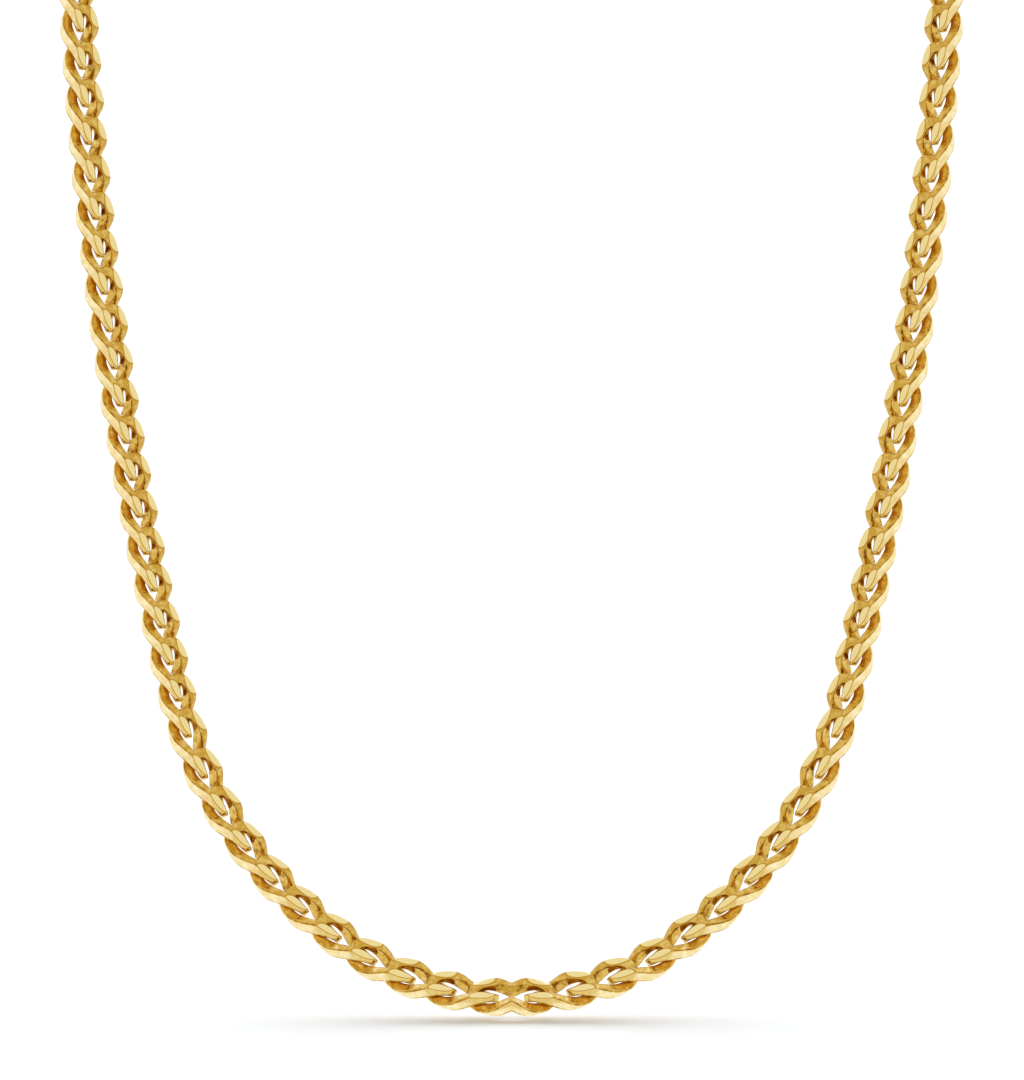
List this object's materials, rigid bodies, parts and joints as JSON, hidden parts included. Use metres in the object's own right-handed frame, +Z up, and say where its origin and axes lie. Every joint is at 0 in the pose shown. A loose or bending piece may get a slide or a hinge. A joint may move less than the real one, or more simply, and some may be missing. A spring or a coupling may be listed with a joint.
{
  "type": "curb chain necklace",
  "caption": "Closed loop of twisted oval links of square gold wire that hangs in a deep U from the back of the neck and fastens there with a lobster clasp.",
  "frame": {"origin": "on the back of the neck, at the underside of the clasp, in the middle of the loop's width", "axes": "+Z up, -Y towards the front of the wearer, +X to the right as the necklace is seen from the front; the loop mirrors about x = 0 except for the clasp"},
  "size_m": [0.1086, 0.1027, 0.1838],
  "materials": {
    "gold": "polished yellow gold, smooth with softly rounded edges"
  },
  "bodies": {
    "root": {"chain_left": "gold", "chain_right": "gold", "middle_link": "gold", "clasp": "gold", "clasp_ring": "gold", "end_ring": "gold"}
  },
  "joints": []
}
